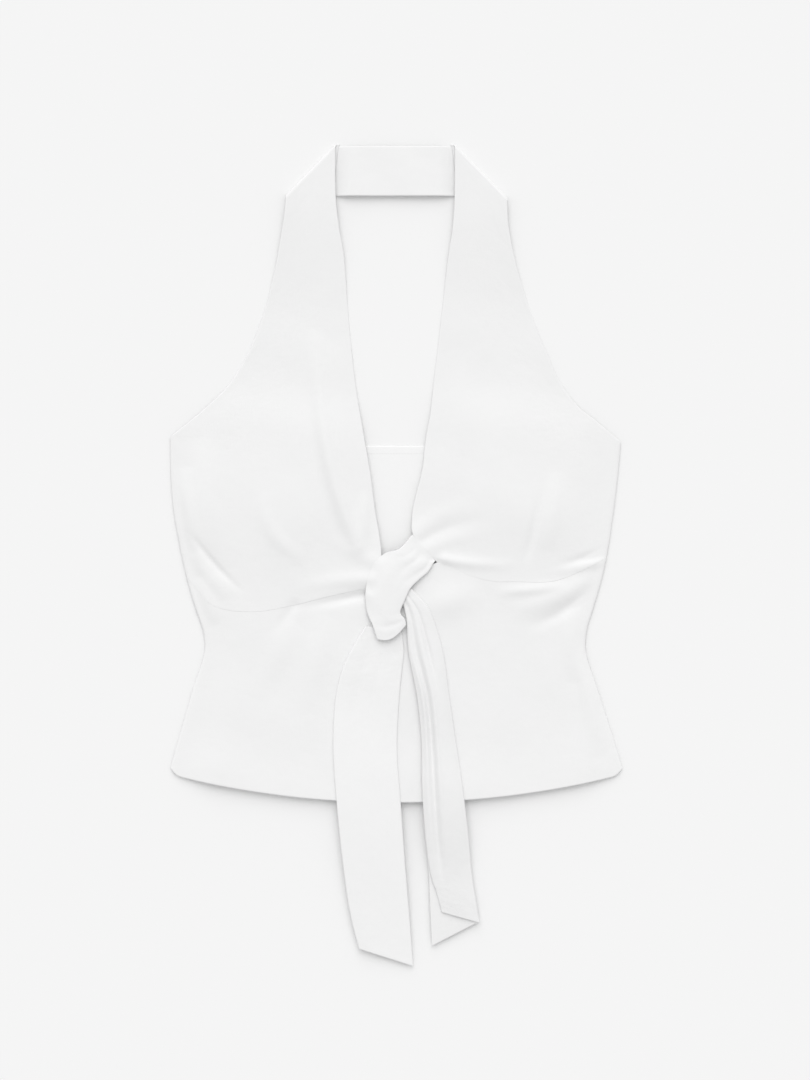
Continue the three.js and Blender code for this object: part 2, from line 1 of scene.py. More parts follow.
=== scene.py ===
# %% [markdown]
# # A knotted halter neck top, laid flat
# This lesson dresses a rigid model of a white cotton top. The model gives the true outline and the
# height of each layer. Here every panel is made again as fine cloth: a thin wall with turned edges,
# soft folds and gathers, stitches where they show, and a plain weave. The first cell loads the
# model.

# %% Load the model
import bpy
import numpy as np
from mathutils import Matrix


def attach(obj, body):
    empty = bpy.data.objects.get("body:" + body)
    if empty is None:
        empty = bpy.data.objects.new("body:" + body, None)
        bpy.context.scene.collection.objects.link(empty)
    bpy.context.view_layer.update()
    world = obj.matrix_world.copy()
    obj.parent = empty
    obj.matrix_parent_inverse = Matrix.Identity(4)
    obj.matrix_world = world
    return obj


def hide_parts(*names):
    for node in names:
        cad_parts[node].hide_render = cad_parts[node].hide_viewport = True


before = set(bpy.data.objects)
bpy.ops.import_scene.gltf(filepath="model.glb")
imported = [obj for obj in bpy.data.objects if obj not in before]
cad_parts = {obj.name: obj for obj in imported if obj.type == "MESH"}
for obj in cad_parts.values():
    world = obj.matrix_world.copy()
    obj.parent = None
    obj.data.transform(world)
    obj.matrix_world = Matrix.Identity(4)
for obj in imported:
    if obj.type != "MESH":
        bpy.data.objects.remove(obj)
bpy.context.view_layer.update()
MM = 0.001

# %% [markdown]
# ## Named sizes
# A maker works from a few measures: how thick the cloth is, how high one layer lies on another, and
# where the edges run. They are kept here in millimetres, X across the garment and Y from the hem to
# the neck. "Left" and "right" are those of someone who looks down at it.

# %% Cloth and layers
CLOTH = 1.2
TIE_CLOTH = 1.2
TIE_AIR = 0.35
FRONT_SEAT = 1.5
TUBE_LIFT, TUBE_ROLL = 2.3, 46.0
TUBE_TOP = (40.0, 190.0)
HEM_LIFT, HEM_LIFT_REACH = 1.7, 60.0
BUST = {"x": 116.0, "y": 44.0, "lift": 4.5, "reach": 52.0, "reach_up": 100.0}
SEAT_ENDS = (118.0, 165.0)
BACK_TOP_Y = 104.5
STRAP_BEND = 2.0
STRAP_RISE = (225.0, 339.0)
HEM = {"low_y": -234.0, "rise": 24.0, "at": 205.0, "half": 215.0, "corner": 10.0, "corner_rise": 6.0}
NECK_BAND = {"low_y": 342.0, "high_y": 389.4, "lift": 4.2, "lift_at_top": 0.6, "ease_in": 17.0}
GATHER = {"x": 8.0, "y": -6.0, "rise": 3.4, "reach": 30.0, "lower_share": 0.25}
SEAM_EDGE = 0.06          # how narrow the round is at a seam inside the front
EDGE_ROUND = 1.2          # radius of a turned edge, in plan
EDGE_BAND = 1.4           # width at a panel's edge in which its points crowd together
SIDE_WRAP = {"reach": 2.6, "drop": 0.7}
FOLD_FADE = (-4.0, 14.0)  # folds fade out towards a side edge over this inset
WAVE_FADE = (250.0, 300.0)

# %% Side edges, from the underarm to the hem
SIDES = [
    {"y": 113, "left": -215, "right": 213.5},
    {"y": 79, "left": -214.5, "right": 210.5},
    {"y": 45, "left": -212, "right": 206.5},
    {"y": 10, "left": -206, "right": 201.5},
    {"y": -20, "left": -199.5, "right": 195.5},
    {"y": -48, "left": -191.5, "right": 187.5},
    {"y": -72, "left": -183.5, "right": 180.5},
    {"y": -92, "left": -182.5, "right": 180},
    {"y": -125, "left": -193, "right": 190.5},
    {"y": -165, "left": -204.5, "right": 203.5},
    {"y": -202, "left": -215, "right": 215},
]

# %% [markdown]
# ## The cut of the cups
# Each cup is cut in one with its strap. Its edges are short tables: the armhole and the neckline
# give x for a few heights, and the underbust seam gives y for a few places across. A smooth curve
# joins the rows.

# %% Cups
LEFT_CUP = {
    "outward": -1, "side": "left", "foot": (-199.5, -20.0), "underarm_y": 113.0, "knot_y": -29.0,
    "neck_row_y": 52.0, "fold": ((-105.0, 339.0), (-58.2, 387.0)), "band_seam": (-61.0, -55.2),
    "underbust": [(-199.5, -20), (-176, -46), (-138, -53), (-98, -47), (-62, -38), (-20, -29)],
    "armhole": [
        (-215, 113), (-180, 142), (-156, 167), (-133, 211), (-116.5, 268), (-107.5, 318), (-105, 339),
    ],
    "neckline": [
        (-20, -29), (-14.5, -2), (-16, 18), (-20, 41), (-25, 79), (-32, 120), (-39.5, 167), (-46, 231),
        (-50, 285), (-54.5, 312), (-57.7, 341), (-58.2, 387),
    ],
}
RIGHT_CUP = {
    "outward": 1, "side": "right", "foot": (199.0, -2.0), "underarm_y": 108.0, "knot_y": -6.0,
    "neck_row_y": 60.0, "fold": ((105.0, 336.5), (55.6, 386.9)), "band_seam": (58.5, 52.6),
    "underbust": [
        (38.5, -6), (51, -10), (68, -18), (91, -24), (112, -24.5), (148, -24), (175, -14.5), (199, -2),
    ],
    "armhole": [
        (213.5, 108), (191, 127), (171.5, 143), (154, 167), (145.5, 186), (129.5, 226), (114.5, 274),
        (106.5, 312), (105, 336.5),
    ],
    "neckline": [
        (38.5, -6), (25.5, 8), (15.5, 21), (14.5, 33), (16.2, 48.5), (24.7, 83), (27.5, 109),
        (32.3, 137), (35.6, 167), (43.2, 231), (49.3, 285), (53.4, 312.6), (55.2, 341), (55.6, 386.9),
    ],
}
SIDE_SHARE = 11 / 27      # share of a cup's rows that lie along the side seam
UNDERBUST_FADE = 0.3      # share of the rows over which the underbust's curve straightens

# %% [markdown]
# ## Folds
# Cloth that is pulled into a knot folds in lines that start deep at the knot and die out. Each row
# is one fold: where it starts, where it bends, where it ends, how high it stands and how wide it
# is. A negative rise is a crease. "open" folds are deepest at their start, the others swell in the
# middle.

# %% Folds
FOLD_COLUMNS = ("from_x", "from_y", "bend_x", "bend_y", "to_x", "to_y", "rise", "width", "open")
FOLDS = [dict(zip(FOLD_COLUMNS, row)) for row in [
    (-78, 220, -74, 88, -38, 8, 4, 7.5, False),
    (-36, 10, -56, 52, -72, 128, 2.4, 7.5, True),
    (-64, 210, -58, 92, -30, 14, 1.8, 17, False),
    (-124, 62, -130, 14, -84, -4, 1.5, 7, False),
    (-30, 60, -32, 34, -28, 10, 1.6, 5, False),
    (-195, 22, -178, -6, -145, -35, -2, 2.6, False),
    (-192, 4, -182, -18, -158, -40, 2.2, 7, False),
    (-186, 112, -186, 45, -172, -15, 3.2, 13, False),
    (-24, -22, -62, -22, -108, -34, 1.9, 7, True),
    (-20, -6, -44, 2, -72, 26, 1.2, 7, True),
    (-26, -36, -64, -44, -102, -51, -2.4, 4.5, True),
    (-97, -47, -104, -57, -118, -77, -1.3, 5, True),
    (-92, -66, -118, -92, -132, -136, 1.2, 12, False),
    (-66, -56, -76, -92, -82, -150, 1.3, 11, False),
    (66, 196, 64, 130, 50, 62, 1.4, 14, False),
    (135, 60, 132, 24, 122, -8, -1.6, 3.6, False),
    (150, 80, 151, 40, 142, 4, 1.9, 9, False),
    (46, -3, 82, -11, 124, -7, 2, 5, True),
    (22, 24, 48, 48, 86, 46, 1.2, 8, True),
    (32, 8, 62, 22, 102, 20, 1, 7, True),
    (26, 15, 54, 34, 92, 34, -0.8, 5, True),
    (200, 4, 178, -2, 148, -11, -2.4, 3.2, True),
    (198, -5, 176, -11, 138, -17, 2, 4.5, True),
    (190, -14, 160, -42, 108, -52, 2.3, 9, False),
    (186, -28, 160, -58, 122, -68, -1.6, 6, False),
    (162, -27, 130, -33, 94, -34, 1.8, 5, False),
    (22, -52, 42, -44, 84, -34, 2.8, 15, False),
    (166, -48, 161, -82, 168, -120, 2.2, 10, False),
    (175, -52, 178, -120, 194, -190, 2.8, 9, False),
    (-201, 84, -199, 40, -186, -8, 2.8, 8, False),
    (-188, -20, -180, -40, -172, -66, 2, 7, False),
]]
FOLD_STEPS = 14

# %% [markdown]
# ## The tie
# The tie is one strip folded lengthwise. Each row is a section across a tail: the free edge of the
# layer underneath, the fold, the free edge of the layer on top, the radius of the fold, the
# fullness trapped between the layers, and where its longest pleat lies between the fold (0) and the
# upper edge (1). The loop over the knot has rows of its own: its two edges, how high each stands,
# how far it arches, and how it sags.

# %% Tails and loop
TAIL_COLUMNS = ("low_x", "low_y", "fold_x", "fold_y", "top_x", "top_y", "bend", "puff", "pleat")
LEFT_TAIL = [dict(zip(TAIL_COLUMNS, row)) for row in [
    (-18, -67, -29, -67, 4, -67, 0.8, 0.3, 0.3),
    (-26, -89, -42.3, -89, 7, -89, 0.85, 0.8, 0.3),
    (-31, -108, -50.8, -108, 5.2, -108, 0.9, 1.3, 0.3),
    (-36, -137, -57.5, -137, 2.4, -137, 0.9, 1.6, 0.3),
    (-37, -184, -59.4, -184, 0.5, -184, 0.9, 1.6, 0.3),
    (-33, -235, -56, -235, 3.9, -233, 0.9, 1.4, 0.3),
    (-28, -292, -50.3, -291, 8.1, -292, 0.9, 1.3, 0.3),
    (-22, -340, -43.6, -338, 12.4, -344, 0.9, 1.1, 0.3),
    (-15, -376, -35.2, -373, 15.7, -389.6, 0.9, 0.8, 0.3),
]]
RIGHT_TAIL = [dict(zip(TAIL_COLUMNS, row)) for row in [
    (4.5, -37.5, 13.5, -31, 4.2, -38.5, 0.8, 0.2, 0.8),
    (10, -58, 31, -52, 9, -58, 0.9, 1.4, 0.8),
    (12.5, -91, 42.9, -88, 11.5, -91, 0.9, 3, 0.76),
    (20.5, -133, 49.5, -133, 19.5, -133, 0.9, 4.4, 0.67),
    (24.5, -175, 55.6, -175, 23.8, -175, 0.9, 4.6, 0.7),
    (25, -218, 62, -218, 24.4, -218, 0.9, 4.4, 0.7),
    (27.2, -262, 67.3, -262, 27, -262, 0.9, 3.6, 0.71),
    (30.5, -300, 70.8, -300, 32, -300, 0.9, 2.2, 0.72),
    (32, -336, 75, -328, 38.5, -321, 0.9, 1.3, 0.72),
    (33.7, -370.5, 78.4, -348, 43, -338, 0.9, 0.6, 0.72),
]]
TAIL_SIZE = (40.0, 320.0)                    # width of a layer and length, to space the points by
TAIL_DROP = {"left": 150.0, "right": 80.0}   # past the hem, a tail comes down over this length
TAIL_END_LIFT = 2.6
TAIL_STEP = {"before": 18.0, "past": 12.0, "none": 4.0, "full": 24.0}
LOOP_COLUMNS = ("left_x", "left_y", "right_x", "right_y", "left_z", "right_z", "crown", "sag")
LOOP = [dict(zip(LOOP_COLUMNS, row)) for row in [
    (14.4, 19.8, 36, -5.2, 5.7, 6.8, 0.3, 0),
    (3, 7, 30.5, -14.5, 7.8, 7.4, 0.8, 0),
    (-11, 2.5, 22, -22, 8.6, 8, 1.2, 0),
    (-22.5, -9, 13.5, -30.5, 8.6, 9.4, 1.5, 0),
    (-29, -30, 8, -42, 7.2, 9.6, 2.1, 0),
    (-28.5, -51, 3.8, -53, 6.4, 9.6, 2.4, 1),
    (-22.5, -66, 8, -60, 9.2, 9.6, 1.5, 3),
    (-18.5, -78.5, 9.2, -65, 9.7, 9.7, 0.8, 6.5),
]]

# %% [markdown]
# ## Smooth curves and soft steps
# A table gives a few rows and a panel needs thousands of points. `through` draws a cubic through
# the rows, with the slope at each row taken from its neighbours, so the curve passes through every
# measure without a corner. `soft_step` eases from 0 to 1 and is used wherever one height runs into
# another.

# %% Curves through tables
def soft_step(value, start, end):
    """3f^2 - 2f^3, where f runs from 0 at start to 1 at end and stays there outside them."""
    f = np.clip((value - start) / (end - start), 0, 1)
    return f * f * (3 - 2 * f)


def blend(start, end, share):
    """start + (end - start) * share."""
    return start + (end - start) * share


def through(places, values, at):
    """A cubic in each span, between the rows' values; a row's slope is the chord of its neighbours."""
    places, values = np.asarray(places, float), np.asarray(values, float)
    if places[0] > places[-1]:
        places, values = places[::-1], values[::-1]
    slope = np.empty_like(values)
    slope[1:-1] = (values[2:] - values[:-2]) / (places[2:] - places[:-2])
    slope[0] = (values[1] - values[0]) / (places[1] - places[0])
    slope[-1] = (values[-1] - values[-2]) / (places[-1] - places[-2])
    k = np.clip(np.searchsorted(places, at) - 1, 0, len(places) - 2)
    span = places[k + 1] - places[k]
    f = np.clip((at - places[k]) / span, 0, 1)
    ease = f * f * (3 - 2 * f)
    bend = f * (1 - f) * span * ((1 - f) * slope[k] - f * slope[k + 1])
    return values[k] * (1 - ease) + values[k + 1] * ease + bend


def edge_at(points, at, by):
    """The other coordinate of a list of points, where coordinate number `by` has the values `at`."""
    return through([p[by] for p in points], [p[1 - by] for p in points], at)


def side_x(side, y):
    """x of the side edge at heights y."""
    return through([row["y"] for row in SIDES], [row[side] for row in SIDES], y)


def section_at(rows, share):
    """Every column of a table of sections, at shares 0 to 1 of its length."""
    at = np.asarray(share) * (len(rows) - 1)
    return {key: through(np.arange(len(rows)), [row[key] for row in rows], at) for key in rows[0]}


def hem_y(x):
    """A parabola, whose ends lift by a second one over the last 10 mm to round the corners."""
    past = np.maximum(np.abs(x) - (HEM["half"] - HEM["corner"]), 0) / HEM["corner"]
    return HEM["low_y"] + HEM["rise"] * (x / HEM["at"]) ** 2 + HEM["corner_rise"] * past ** 2


# %% [markdown]
# ## The height of the front
# The front is one height field over the plan, whichever panel a point is on, so panels meet at
# their seams and the tie can lie on it. It adds the tube's roll at the side edges, the gape of the
# hem, the fullness of the bust and of the gathers, the folds, and a slow waviness that no cloth is
# without. Nothing goes below the back.

# %% Folds and height
def fold_height(x, y):
    """Sum over folds of rise * along * exp(-(distance / width)^2), away from a quadratic curve."""
    height = np.zeros_like(x)
    t = np.linspace(0, 1, FOLD_STEPS + 1)[:, None]
    for fold in FOLDS:
        start, bend, end = (
            np.array([fold[k + "_x"], fold[k + "_y"]], float) for k in ("from", "bend", "to"))
        line = (1 - t) ** 2 * start + 2 * t * (1 - t) * bend + t ** 2 * end
        nearest, share = np.full(x.shape, np.inf), np.zeros_like(x)
        for k in range(FOLD_STEPS):
            step = line[k + 1] - line[k]
            away_x, away_y = x - line[k, 0], y - line[k, 1]
            f = np.clip((away_x * step[0] + away_y * step[1]) / (step @ step), 0, 1)
            distance = np.hypot(away_x - f * step[0], away_y - f * step[1])
            closer = distance < nearest
            nearest = np.where(closer, distance, nearest)
            share = np.where(closer, (k + f) / FOLD_STEPS, share)
        along = np.cos(share * np.pi / 2) ** 1.5 if fold["open"] else np.sin(share * np.pi)
        height += fold["rise"] * along * np.exp(-(nearest / fold["width"]) ** 2)
    return height


WAVES = [
    # lengths a and b, height
    (61, 23, 0.16), (-38, 47, 0.13), (27, -71, 0.12), (19, 33, 0.07), (-83, -29, 0.15), (44, 90, 0.1),
]


def waviness(x, y):
    """Sum of height * sin(2 x / a + 2 y / b + phase), over a short list of lengths a and b."""
    return sum(
        height * np.sin(x / a * 2 + y / b * 2 + 1.7 * k) for k, (a, b, height) in enumerate(WAVES)
    )


def front_height(x, y, gather_share):
    """Height of the underside of the front over the plan, in millimetres."""
    seat = FRONT_SEAT * (1 - soft_step(y, *SEAT_ENDS))
    inset = np.minimum(x - side_x("left", y), side_x("right", y) - x)
    rolled = soft_step(inset, 0, TUBE_ROLL)
    tube = TUBE_LIFT * rolled * (1 - soft_step(y, *TUBE_TOP))
    gape = HEM_LIFT * rolled * (1 - soft_step(y - hem_y(x), 0, HEM_LIFT_REACH))
    bust_reach_y = np.where(y > BUST["y"], BUST["reach_up"], BUST["reach"])
    bust_away = np.hypot((np.abs(x) - BUST["x"]) / BUST["reach"], (y - BUST["y"]) / bust_reach_y)
    bust = BUST["lift"] * np.exp(-bust_away ** 2) * rolled
    near_knot = np.hypot(x - GATHER["x"], y - GATHER["y"]) / GATHER["reach"]
    gather = GATHER["rise"] * gather_share * np.exp(-near_knot ** 2)
    folds = fold_height(x, y) * soft_step(inset, *FOLD_FADE)
    strap = 2 * STRAP_BEND * soft_step(y, *STRAP_RISE)
    loose = waviness(x, y) * rolled * (1 - soft_step(y, *WAVE_FADE))
    return seat + np.maximum(tube + gape + bust + gather + folds + loose, 0) + strap

# %% [markdown]
# ## From a surface to a piece of cloth
# A panel could be a flat mesh with a Solidify modifier, but its edges would be square. Real edges
# are turned in, so they are round and a little slimmer than the fold inside. Here a wall is built
# from its middle surface, the direction through the cloth and half its thickness at each point,
# which falls to almost nothing along a quarter circle at the edges. Points crowd together near an
# edge so that the round shows.

# %% Closed walls
EDGE_STEPS = np.array([0.0, 0.05, 0.2, 0.45, 0.75, 1.0])
LEAST_EDGE = 0.04         # share of the thickness left at the very edge, so that no wall closes up


def spaced(width, count, edge):
    """Distances from 0 to width: six near each end, along EDGE_STEPS, and the rest evenly between."""
    width = np.asarray(width, float)[..., None]
    near = edge * EDGE_STEPS
    middle = edge + (width - 2 * edge) * np.linspace(0, 1, count + 2)[1:-1]
    ones = np.ones_like(width)
    return np.concatenate([near * ones, middle, width - near[::-1] * ones], axis=-1)


def shares(length, count, edge=EDGE_BAND):
    """Places from 0 to 1, spaced as on a piece of that length."""
    return spaced(length, count, edge) / length


def turned_edge(distance, radius):
    """sqrt(1 - (1 - d / radius)^2) up to the radius, and 1 beyond it: a quarter circle at an edge."""
    f = np.clip(distance / radius, 0, 1)
    return np.maximum(np.sqrt(1 - (1 - f) ** 2), LEAST_EDGE)


def placed(name, data):
    """A new object of this data, linked to the scene."""
    made = bpy.data.objects.new(name, data)
    bpy.context.scene.collection.objects.link(made)
    return made


def cloth_wall(name, middle, through_cloth, half, uv):
    """A closed grid at middle + and - through_cloth * half; returns it and the area of its middle."""
    rows, columns = half.shape
    offset = through_cloth * half[..., None]
    points = np.concatenate([(middle + offset).reshape(-1, 3), (middle - offset).reshape(-1, 3)]) * MM
    index = np.arange(rows * columns).reshape(rows, columns)
    under = index + rows * columns
    quads = [
        np.stack([index[:-1, :-1], index[:-1, 1:], index[1:, 1:], index[1:, :-1]], -1).reshape(-1, 4),
        np.stack([under[:-1, :-1], under[1:, :-1], under[1:, 1:], under[:-1, 1:]], -1).reshape(-1, 4),
    ]
    rim = np.concatenate([index[0, :], index[1:, -1], index[-1, -2::-1], index[-2:0:-1, 0]])
    after = np.roll(rim, -1)
    quads.append(np.stack([after, rim, rim + rows * columns, after + rows * columns], -1))
    quads = np.concatenate(quads)
    corners = points[quads]
    area_vector = np.cross(corners[:, 2] - corners[:, 0], corners[:, 3] - corners[:, 1]) / 2
    if np.einsum("ij,ij->", area_vector, corners.mean(1)) < 0:
        quads = quads[:, ::-1]
    mesh = bpy.data.meshes.new(name)
    mesh.from_pydata(points, [], quads)
    mesh.update()
    layer = mesh.uv_layers.new(name="cloth_uv")
    both = np.tile(uv.reshape(-1, 2), (2, 1)) * MM
    loop_points = np.empty(len(mesh.loops), np.int32)
    mesh.loops.foreach_get("vertex_index", loop_points)
    layer.data.foreach_set("uv", both[loop_points].ravel())
    mesh.polygons.foreach_set("use_smooth", np.ones(len(mesh.polygons), bool))
    face = middle * MM
    cut = np.cross(face[1:, :-1] - face[:-1, 1:], face[1:, 1:] - face[:-1, :-1]) / 2
    area = float(np.linalg.norm(cut, axis=-1).sum())
    print(f"{name}: {2 * len(quads)} triangles, {area:.4f} square metres of cloth")
    return placed(name, mesh), area


def upright(x, y, z):
    """A middle surface over the plan, and straight up as the way through the cloth."""
    up = np.zeros(x.shape + (3,))
    up[..., 2] = 1
    return np.stack([x, y, z], -1), up


# %% [markdown]
# ## The cups and their straps
# A cup starts at the underbust seam, runs up along the side seam and the armhole on one side and
# the neckline on the other, and narrows into the strap. At the neck the strap turns behind itself
# along a line at 45 degrees: every thread rolls round the fold and runs back level under the strap,
# to the band behind the neck. The roll is a helix: a thread moves along the fold by radius * angle
# while it goes round by the same angle.

# %% A cup's place in plan
def cup_plan(cup, t, inward):
    """Blend of the outer edge (side, then armhole) and the neckline, plus the sag of the underbust."""
    foot_x, foot_y = cup["foot"]
    on_side = np.minimum(t / SIDE_SHARE, 1)
    on_armhole = np.maximum(t - SIDE_SHARE, 0) / (1 - SIDE_SHARE)
    side_y = blend(foot_y, cup["underarm_y"], on_side)
    armhole_y = blend(cup["underarm_y"], cup["fold"][0][1], on_armhole)
    outer_y = np.where(on_armhole > 0, armhole_y, side_y)
    armhole_x = edge_at(cup["armhole"], outer_y, 1)
    outer_x = np.where(on_armhole > 0, armhole_x, side_x(cup["side"], outer_y))
    low_inner = blend(cup["knot_y"], cup["neck_row_y"], on_side)
    high_inner = blend(cup["neck_row_y"], cup["fold"][1][1], on_armhole)
    inner_y = np.where(on_armhole > 0, high_inner, low_inner)
    inner_x = edge_at(cup["neckline"], inner_y, 1)
    edge_x = blend(foot_x, cup["neckline"][0][0], inward)
    sag = edge_at(cup["underbust"], edge_x, 0) - blend(foot_y, cup["knot_y"], inward)
    straight = np.maximum(1 - t / UNDERBUST_FADE, 0) ** 2
    return blend(outer_x, inner_x, inward), blend(outer_y, inner_y, inward) + sag * straight


def row_widths(cup, t):
    """Width of a cup along each of its rows."""
    ends = [cup_plan(cup, t, np.full_like(t, side)) for side in (0.0, 1.0)]
    return np.hypot(ends[1][0] - ends[0][0], ends[1][1] - ends[0][1])


# %% Build a cup
SEAM_ROWS = [0, 0.00008, 0.0003, 0.0012, 0.003, 0.0048]    # these crowd at the underbust seam
FIRST_FREE_ROW = 0.0085
SEAM_EASE = 7.0           # above the seam, the gathers of the cup come in over this height
INTO_LOOP = {"y": (-30, -20), "inward": (0.5, 0.6), "sharper": 0.9}
STRAP_STEPS = 12          # rows of the roll at the neck, and of the run under the strap


def make_cup(name, cup, columns, rows_side, rows_armhole):
    """Flat rows up to the fold, then the roll, then the run to the neck band."""
    side_rows = np.linspace(FIRST_FREE_ROW, SIDE_SHARE, rows_side)
    t = np.concatenate([SEAM_ROWS, side_rows, np.linspace(SIDE_SHARE, 1, rows_armhole)[1:]])
    width = row_widths(cup, t)
    from_outer = spaced(width, columns, EDGE_BAND)
    inward = from_outer / width[:, None]
    x, y = cup_plan(cup, t[:, None] * np.ones_like(inward), inward)
    above_seam = y - y[0][None, :]
    share = blend(GATHER["lower_share"], 1, soft_step(above_seam, 0, SEAM_EASE))
    z = front_height(x, y, share) + CLOTH / 2
    on_side = (t <= SIDE_SHARE)[:, None]
    wraps_back = on_side * (1 - soft_step(from_outer, 0, SIDE_WRAP["reach"])) * SIDE_WRAP["drop"]
    middle, up = upright(x, y, z - wraps_back)
    free = np.minimum(from_outer, width[:, None] - from_outer)
    at_seam = turned_edge(above_seam, SEAM_EDGE)
    into_loop = soft_step(-y, *INTO_LOOP["y"]) * soft_step(inward, *INTO_LOOP["inward"])
    edge_round = EDGE_ROUND - INTO_LOOP["sharper"] * into_loop
    half = CLOTH / 2 * np.minimum(turned_edge(free, edge_round), at_seam)
    # The roll at the neck, and the run under the strap.
    outer, inner = np.array(cup["fold"])
    along = (inner - outer) / np.linalg.norm(inner - outer)
    out = np.array([cup["outward"], 1.0]) / np.sqrt(2)
    start = np.stack([x[-1], y[-1]], -1)
    turns, crossings = [], []
    for angle in np.linspace(0, np.pi, STRAP_STEPS + 1)[1:]:
        place = start + along * STRAP_BEND * angle + out * STRAP_BEND * np.sin(angle)
        height = CLOTH / 2 + STRAP_BEND * (1 + np.cos(angle))
        turns.append(np.column_stack([place, np.full(len(start), height)]))
        way = [out[0] * np.sin(angle), out[1] * np.sin(angle), np.cos(angle)]
        crossings.append(np.tile(way, (len(start), 1)))
    last = turns[-1]
    seam_x = blend(*cup["band_seam"], inward[-1])
    seam_y = blend(NECK_BAND["low_y"], NECK_BAND["high_y"], inward[-1])
    seam = np.column_stack([seam_x, seam_y, last[:, 2]])
    for run in np.linspace(0, 1, STRAP_STEPS + 1)[1:]:
        turns.append(last * (1 - run) + seam * run)
        crossings.append(np.tile([0.0, 0.0, -1.0], (len(start), 1)))
    middle = np.concatenate([middle, np.array(turns)])
    crossing = np.concatenate([up, np.array(crossings)])
    half = np.concatenate([half, np.tile(half[-1], (len(turns), 1))])
    steps = np.linalg.norm(np.diff(middle, axis=0), axis=-1)
    length = np.concatenate([np.zeros((1, steps.shape[1])), np.cumsum(steps, 0)])
    uv = np.stack([np.concatenate([x, np.tile(x[-1], (len(turns), 1))]), length + y[0]], -1)
    return cloth_wall(name, middle, crossing, half, uv)


left_cup = make_cup("left_cup_cloth", LEFT_CUP, 92, 74, 92)
right_cup = make_cup("right_cup_cloth", RIGHT_CUP, 84, 66, 92)

# %% [markdown]
# ## The lower front
# One panel from the hem to the two underbust seams. Its upper edge follows the cups' lower edges,
# and behind the knot it runs straight from one to the other. Rows blend the hem's curve into that
# edge, and the side edges come from the same table as the cups', so the side seam is one line.

# %% Build the lower front
LOWER_FRONT_LENGTH = 210.0


def lower_top_edge(x):
    """y of the upper edge: the two underbust curves, and a straight line between them."""
    left_end, right_end = LEFT_CUP["underbust"][-1], RIGHT_CUP["underbust"][0]
    left = edge_at(LEFT_CUP["underbust"], x, 0)
    right = edge_at(RIGHT_CUP["underbust"], x, 0)
    middle = np.interp(x, [left_end[0], right_end[0]], [left_end[1], right_end[1]])
    return np.where(x < left_end[0], left, np.where(x > right_end[0], right, middle))


def make_lower_front(name, columns, rows):
    """x runs between the side edges, y from the hem to the upper edge, as straight blends."""
    left_foot, right_foot = LEFT_CUP["foot"], RIGHT_CUP["foot"]
    across = shares(right_foot[0] - left_foot[0], columns)
    up = shares(LOWER_FRONT_LENGTH, rows)[:, None]
    corner_y = hem_y(HEM["half"])
    left_x = side_x("left", blend(corner_y, left_foot[1], up))
    right_x = side_x("right", blend(corner_y, right_foot[1], up))
    x = blend(left_x, right_x, across)
    hem = hem_y(HEM["half"] * (2 * across - 1))
    top = lower_top_edge(blend(left_foot[0], right_foot[0], across))
    y = blend(hem, top, up)
    inset = np.minimum(x - left_x, right_x - x)
    wraps_back = (1 - soft_step(inset, 0, SIDE_WRAP["reach"])) * SIDE_WRAP["drop"]
    z = front_height(x, y, GATHER["lower_share"]) + CLOTH / 2
    middle, up_way = upright(x, y, z - wraps_back)
    free = np.minimum(inset, y - y[0])
    at_seam = turned_edge(y[-1] - y, SEAM_EDGE)
    half = CLOTH / 2 * np.minimum(turned_edge(free, EDGE_ROUND), at_seam)
    return cloth_wall(name, middle, up_way, half, np.stack([x, y], -1))


lower_front = make_lower_front("lower_front_cloth", 220, 120)

# %% [markdown]
# ## The back
# The back lies flat under everything and shows only inside the V of the neckline. Its edges stop
# just short of the front's, whose own edges turn down over them as they do at a sewn side.

# %% Build the back
BACK_SIZE = (428.0, 320.0)
BACK_INSET = {"side": 2.0, "corner": 0.6, "hem": 1.5}


def make_back(name, columns, rows):
    """Straight blends of the side edges and of the hem and the level top edge."""
    up = shares(BACK_SIZE[1], rows)[:, None]
    corner_y = hem_y(HEM["half"]) + BACK_INSET["corner"]
    side_y = blend(corner_y, BACK_TOP_Y, up)
    left_x = side_x("left", side_y) + BACK_INSET["side"]
    right_x = side_x("right", side_y) - BACK_INSET["side"]
    across = shares(BACK_SIZE[0], columns)
    x = blend(left_x, right_x, across)
    hem = hem_y(HEM["half"] * (2 * across - 1)) + BACK_INSET["hem"]
    y = blend(hem, BACK_TOP_Y, up)
    middle, up_way = upright(x, y, np.full_like(x, CLOTH / 2))
    free = np.minimum(np.minimum(x - left_x, right_x - x), np.minimum(y - y[0], y[-1] - y))
    half = CLOTH / 2 * turned_edge(free, EDGE_ROUND)
    return cloth_wall(name, middle, up_way, half, np.stack([x, y], -1))


back = make_back("back_cloth", 120, 90)

# %% [markdown]
# ## The neck band
# The band joins the two straps behind the neck. Nothing holds it down between them, so its lower
# edge stands off the surface all the way across, which is why it throws a long shadow.

# %% Build the neck band
BAND_SIZE = (118.0, 47.0)
BAND_SEAM = 0.15          # how far short of the straps the band stops
BAND_WAVE = {"x": 9, "y": 14, "height": 0.25}


